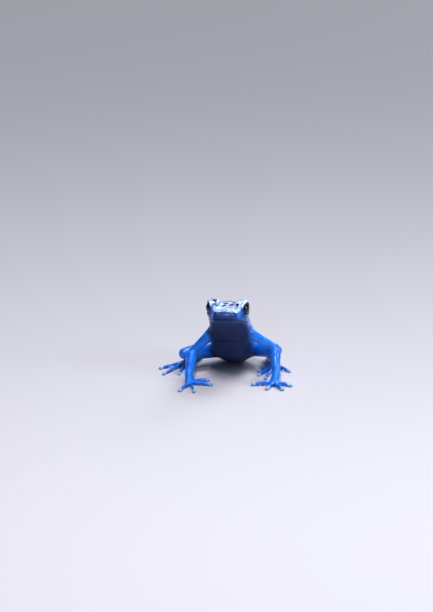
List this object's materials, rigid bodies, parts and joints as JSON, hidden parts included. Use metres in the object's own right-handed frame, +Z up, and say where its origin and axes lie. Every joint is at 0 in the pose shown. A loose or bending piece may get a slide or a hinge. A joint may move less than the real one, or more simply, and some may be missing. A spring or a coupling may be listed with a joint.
{
  "type": "blue poison dart frog",
  "caption": "Life-size still model of a small blue frog sitting up on its forelegs with its hind legs folded.",
  "frame": {"origin": "middle of the base at floor level, under the centre of the bounding box", "axes": "+Z up from the floor, -Y the way the frog faces, +X towards the frog's left side"},
  "size_m": [0.048, 0.0432, 0.0291],
  "materials": {
    "back_skin": "moist glossy skin",
    "limb_skin": "moist glossy skin",
    "drum_skin": "thin smooth skin",
    "eye_black": "wet gloss"
  },
  "bodies": {
    "root": {"head": "back_skin", "lower_jaw": "back_skin", "torso": "back_skin", "left_eye": "eye_black", "right_eye": "eye_black", "left_eardrum": "drum_skin", "right_eardrum": "drum_skin", "left_upper_arm": "limb_skin", "left_forearm": "limb_skin", "left_hand": "limb_skin", "right_upper_arm": "limb_skin", "right_forearm": "limb_skin", "right_hand": "limb_skin", "left_thigh": "limb_skin", "left_shank": "limb_skin", "left_tarsus": "limb_skin", "left_foot": "limb_skin", "right_thigh": "limb_skin", "right_shank": "limb_skin", "right_tarsus": "limb_skin", "right_foot": "limb_skin"}
  },
  "joints": []
}
